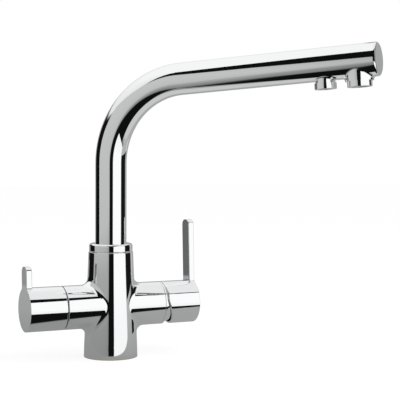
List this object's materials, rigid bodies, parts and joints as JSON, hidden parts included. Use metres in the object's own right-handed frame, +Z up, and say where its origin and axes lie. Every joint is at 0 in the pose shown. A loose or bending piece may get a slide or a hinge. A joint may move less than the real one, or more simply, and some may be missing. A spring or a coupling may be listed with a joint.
{
  "type": "three way kitchen tap",
  "caption": "Chromed kitchen mixer tap with a swivel spout, a mixer lever on one arm and a short filtered water lever on the other, and an outlet for each water under the tip.",
  "frame": {"origin": "centre of the foot, in the plane of the worktop, at the mouth of the fixing stud's thread", "axes": "+Z up, the two arms along X with the mixer lever at +X and the filtered water lever at -X, the user at -Y"},
  "size_m": [0.2517, 0.2152, 0.275],
  "materials": {
    "polished_chrome": "polished",
    "bare_brass": "machined",
    "stainless_steel": "machined",
    "black_rubber": "moulded",
    "white_ceramic": "lapped",
    "white_plastic": "moulded",
    "grey_plastic": "moulded"
  },
  "bodies": {
    "tap_body": {"body_casting": "polished_chrome", "foot_gasket": "black_rubber", "spout_collar": "polished_chrome", "lower_slip_ring": "white_plastic", "upper_slip_ring": "white_plastic", "swivel_stop_screw": "stainless_steel", "filter_spigot": "bare_brass", "filter_spigot_oring": "black_rubber", "filter_valve_body": "bare_brass", "filter_valve_seal": "black_rubber", "filter_valve_seat": "black_rubber", "filter_fixed_disc": "white_ceramic", "cartridge_base": "white_plastic", "cartridge_base_seals": "black_rubber", "cartridge_fixed_disc": "white_ceramic", "cartridge_housing": "white_plastic", "mixer_retaining_nut": "bare_brass", "mixer_cover_ring": "polished_chrome"},
    "spout": {"spout_tube": "polished_chrome", "spout_end_cap": "polished_chrome", "spout_nipple": "bare_brass", "spout_nipple_orings": "black_rubber", "filter_tube": "white_plastic", "filter_tube_connector": "white_plastic", "filter_outlet_block": "white_plastic", "aerator_washer": "black_rubber", "aerator_housing": "polished_chrome", "aerator_insert": "grey_plastic", "filter_outlet_washer": "black_rubber", "filter_outlet_ring": "polished_chrome", "filter_outlet_insert": "grey_plastic"},
    "filter_lever": {"filter_handle": "polished_chrome", "filter_spindle": "bare_brass", "filter_spindle_oring": "black_rubber", "filter_spindle_clip": "stainless_steel", "filter_moving_disc": "white_ceramic", "filter_handle_screw": "stainless_steel", "filter_handle_plug": "grey_plastic"},
    "mixer_carrier": {"cartridge_carrier": "white_plastic", "cartridge_pin": "stainless_steel"},
    "mixer_disc": {"cartridge_driver": "white_plastic", "cartridge_moving_disc": "white_ceramic"},
    "mixer_lever": {"mixer_handle": "polished_chrome", "cartridge_stem": "stainless_steel", "mixer_handle_screw": "stainless_steel", "mixer_handle_plug": "grey_plastic"}
  },
  "joints": [
    {"name": "spout_swivel", "type": "hinge", "parent": "tap_body", "child": "spout", "pos_m": [0, 0, 0.0885], "axis": [0, 0, 1], "range_deg": [-131.55, 48.45]},
    {"name": "filter_turn", "type": "hinge", "parent": "tap_body", "child": "filter_lever", "pos_m": [-0.045, 0, 0.046], "axis": [1, 0, 0], "range_deg": [0, 90]},
    {"name": "mixer_turn", "type": "hinge", "parent": "tap_body", "child": "mixer_carrier", "pos_m": [0.049, 0, 0.046], "axis": [1, 0, 0], "range_deg": [-45, 45]},
    {"name": "mixer_tilt", "type": "hinge", "parent": "mixer_carrier", "child": "mixer_lever", "pos_m": [0.049, 0, 0.046], "axis": [0, 0.9989, -0.0471], "range_deg": [0, 22]},
    {"name": "disc_slide", "type": "slide", "parent": "mixer_carrier", "child": "mixer_disc", "axis": [0, 0.0471, 0.9989], "range_m": [0, 0.00346]}
  ],
  "couplings": [
    {"joint": "disc_slide", "follows": "mixer_tilt", "m_per_rad": 0.009}
  ]
}
